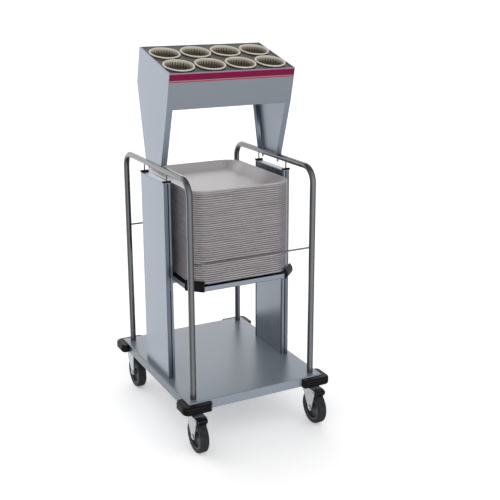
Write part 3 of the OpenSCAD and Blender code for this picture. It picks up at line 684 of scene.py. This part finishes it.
def cup_tree():
    plan = Plan(
        "perforated_cup",
        {
            "Mouth Radius": "NodeSocketFloat",
            "Base Radius": "NodeSocketFloat",
            "Rim Radius": "NodeSocketFloat",
            "Depth": "NodeSocketFloat",
            "Wall": "NodeSocketFloat",
            "Bead": "NodeSocketFloat",
            "Turn": "NodeSocketRotation",
            "Place": "NodeSocketVector",
            "Finish": "NodeSocketMaterial",
        },
    )
    grid = plan.add(
        "GeometryNodeMeshGrid",
        None,
        {
            "Size X": 1.0,
            "Size Y": 1.0,
            "Vertices X": CUP_COLUMNS + 1,
            "Vertices Y": CUP_ROWS + 1,
        },
    )
    place = plan.flow(plan.add("GeometryNodeInputPosition"))
    spot = plan.add("ShaderNodeSeparateXYZ", None, {0: place})
    round_share = plan.flow(spot, "X") + HALF
    up_share = plan.flow(spot, "Y") + HALF
    column = (round_share * CUP_COLUMNS).floored()
    row = (up_share * CUP_ROWS).floored()
    wall_row = row - CUP_BASE_ROWS
    in_step = wall_row % CUP_SLOT_ROWS
    # Whole numbers are compared half a step off, so that rounding can't matter
    wall_slots = (
        ((column % CUP_SLOT_STEP) < HALF)
        * (in_step > CUP_BAR_ROWS - HALF)
        * (wall_row > CUP_BAR_ROWS - HALF)
        * (wall_row < CUP_WALL_ROWS - CUP_BAR_ROWS + HALF)
    )
    drains = (
        ((column % CUP_DRAIN_STEP) < CUP_DRAIN_COLUMNS - HALF)
        * (row > CUP_DRAIN_ROW - HALF)
        * (row < CUP_DRAIN_ROW + HALF)
    )
    holes = wall_slots + drains
    pierced = plan.flow(
        plan.add(
            "GeometryNodeDeleteGeometry", {"domain": "FACE"}, {0: plan.flow(grid), "Selection": holes}
        )
    )
    base_share = CUP_BASE_ROWS / CUP_ROWS
    over_base = (up_share / base_share).clamped()
    up_wall = ((up_share - base_share) / (1 - base_share)).clamped()
    inner_base = plan.size("Base Radius") - plan.size("Wall")
    inner_mouth = plan.size("Mouth Radius") - plan.size("Wall")
    base_radius = inner_base * (CUP_MIDDLE_SHARE + (1 - CUP_MIDDLE_SHARE) * over_base)
    radius = base_radius + (inner_mouth - inner_base) * up_wall
    height = (plan.size("Depth") - plan.size("Wall")) * (up_wall - 1)
    angle = round_share * math.tau
    rolled = plan.add(
        "GeometryNodeSetPosition",
        None,
        {0: pierced, "Position": plan.vector(radius * angle.cosine(), radius * angle.sine(), height)},
    )
    closed = plan.flow(
        plan.add("GeometryNodeMergeByDistance", None, {0: plan.flow(rolled), "Distance": MERGE_DISTANCE})
    )
    thick = plan.add(
        "GeometryNodeExtrudeMesh",
        {"mode": "FACES"},
        {"Mesh": closed, "Offset Scale": plan.size("Wall"), "Individual": False},
    )
    lining = plan.flow(plan.add("GeometryNodeFlipFaces", None, {0: closed}))
    shell = plan.add(
        "GeometryNodeMergeByDistance",
        None,
        {0: plan.joined(plan.flow(thick), lining), "Distance": MERGE_DISTANCE},
    )
    path = plan.add(
        "GeometryNodeCurvePrimitiveCircle",
        {"mode": "RADIUS"},
        {"Resolution": CUP_COLUMNS, "Radius": plan.size("Rim Radius") - plan.size("Bead")},
    )
    bead = plan.add(
        "GeometryNodeCurvePrimitiveCircle",
        {"mode": "RADIUS"},
        {"Resolution": 14, "Radius": plan.size("Bead")},
    )
    rim = plan.add("GeometryNodeCurveToMesh", None, {0: plan.flow(path), 1: plan.flow(bead)})
    whole = plan.add(
        "GeometryNodeTransform",
        None,
        {
            0: plan.joined(plan.flow(shell), plan.flow(rim)),
            "Rotation": plan.size("Turn"),
            "Translation": plan.size("Place"),
        },
    )
    plan.end(plan.flow(whole))
    return plan


cup_plan = cup_tree()
print("cup tree:", len(cup_plan.tree.nodes), "nodes")

# %% [markdown]
# The place of each cup is read from its solid: the lift-out joint gives the axis,
# the highest ring of points along it gives the middle of the rim, and the lowest
# gives the base.

# %% Cups
CUP_RIM_OVER = 0.0035
CUP_WALL = 0.0025


def cup_values(node):
    axis = AXIS_OF[BODY_OF[node]]
    points = [vertex.co.copy() for vertex in NODES[node].data.vertices]
    along = [point.dot(axis) for point in points]
    top, low = max(along), min(along)
    crown = [p for p, a in zip(points, along) if a > top - 1e-5]
    foot = [p for p, a in zip(points, along) if a < low + 1e-5]
    middle = sum(crown, Vector()) / len(crown)

    def off_axis(point):
        arm = point - middle
        return (arm - axis * arm.dot(axis)).length

    rim_radius = max(off_axis(point) for point in points)
    bead = (CUP_RIM_OVER + CUP_WALL) / 2
    return {
        "Mouth Radius": rim_radius - CUP_RIM_OVER,
        "Base Radius": max(off_axis(point) for point in foot),
        "Rim Radius": rim_radius,
        "Depth": top - low - bead,
        "Wall": CUP_WALL,
        "Bead": bead,
        "Turn": Vector((0, 0, 1)).rotation_difference(axis).to_euler(),
        "Place": middle - axis * bead,
        "Finish": finishes["cup"],
    }


for node in CUP_NODES:
    mesh = cup_plan.grown(node + "_perforated", cup_values(node))
    piece = add_piece(node + "_piece", mesh, finishes["cup"], BODY_OF[node])
    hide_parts(node)
print("cups:", len(CUP_NODES), "with", len(mesh.polygons), "faces each")

# %% [markdown]
# ## Band on the bin
# The front of the bin carries a plain two-tone band: a broad plum stripe and a
# thin raspberry one below it, across the whole width. The stripes are films that
# lie on the panel, so their places follow from the panel's own front face.

# %% Band
BAND = (("plum", 0.004, 0.026), ("raspberry", 0.029, 0.033))
FILM = 0.0004


def panel_face():
    """The top edge's ends, the way down and the outward normal of the front."""
    mesh = NODES["bin_front"].data
    outward = max(mesh.polygons, key=lambda face: -face.normal.y * face.area).normal.copy()
    level = max(vertex.co.dot(outward) for vertex in mesh.vertices)
    corners = [v.co.copy() for v in mesh.vertices if v.co.dot(outward) > level - 1e-5]
    top = max(corner.z for corner in corners)
    edge = sorted((c for c in corners if c.z > top - 1e-4), key=lambda corner: corner.x)
    down = Vector((1, 0, 0)).cross(outward).normalized()
    return edge[0], edge[-1], down if down.z < 0 else -down, outward


def film_mesh(name, left, right, down, outward, start, stop):
    """A thin slab on the face, from one distance below the edge to another."""
    low = [left + down * stop, right + down * stop, right + down * start, left + down * start]
    high = [corner + outward * FILM for corner in low]
    mesh = bpy.data.meshes.new(name)
    sides = [(i, (i + 1) % 4, 4 + (i + 1) % 4, 4 + i) for i in range(4)]
    mesh.from_pydata(low + high, [], [(3, 2, 1, 0), (4, 5, 6, 7)] + sides)
    return mesh


left_end, right_end, down_way, out_way = panel_face()
for finish, start, stop in BAND:
    mesh = film_mesh(finish + "_band", left_end, right_end, down_way, out_way, start, stop)
    add_piece(finish + "_band", mesh, finishes[finish], BODY_OF["bin_front"])
print("band from", tuple(round(v, 3) for v in left_end), "to", tuple(round(v, 3) for v in right_end))

# %% [markdown]
# ## Floor and light
# A white floor runs far past the frame, so it is also the background. The sky does
# all the lighting: it is bright in front and at the back, weaker on the left, and
# dim on the right and above. So tubes get a bright streak beside a dark one, the
# faces on the left are lighter than those in front, and the shadows stay soft.


# %% Stage
def add_floor(half):
    mesh = bpy.data.meshes.new("floor")
    mesh.from_pydata(
        [(-half, -half, 0), (half, -half, 0), (half, half, 0), (-half, half, 0)], [], [(0, 1, 2, 3)]
    )
    finish = Finish("white_floor")
    cloud = finish.noise(0.7, 2.0)
    finish.set(
        Base_Color=finish.blend(cloud, (0.90, 0.90, 0.91, 1), (0.93, 0.93, 0.935, 1)),
        Roughness=0.8,
        Emission_Color=(1, 1, 1, 1),
        Emission_Strength=0.24,
    )
    mesh.materials.append(finish.material)
    floor = bpy.data.objects.new("floor", mesh)
    bpy.context.scene.collection.objects.link(floor)
    floor.visible_glossy = False
    return floor


def set_sky(left, right, front, back, above):
    """A sky whose five sides can be lit by themselves."""
    world = bpy.data.worlds.new("studio")
    bpy.context.scene.world = world
    world.use_nodes = True
    sky = Bench(world.node_tree)
    ways = sky.add(
        "ShaderNodeSeparateXYZ", None, {0: sky.flow(sky.add("ShaderNodeTexCoord"), "Generated")}
    )
    x, y, z = (sky.flow(ways, name) for name in "XYZ")
    glow = (
        left * (0.0 - x).clamped().raised(1.5)
        + right * x.clamped().raised(1.5)
        + front * (0.0 - y).clamped().raised(1.5)
        + back * y.clamped().raised(1.5)
        + above * z.clamped().raised(2.0)
    )
    background = world.node_tree.nodes["Background"]
    sky.feed(background.inputs["Color"], glow)
    background.inputs["Strength"].default_value = 1.0


bpy.context.scene.view_settings.view_transform = "Standard"
set_sky(0.66, 0.3, 2.26, 2.33, 0.27)
add_floor(150.0)
print("stage set")
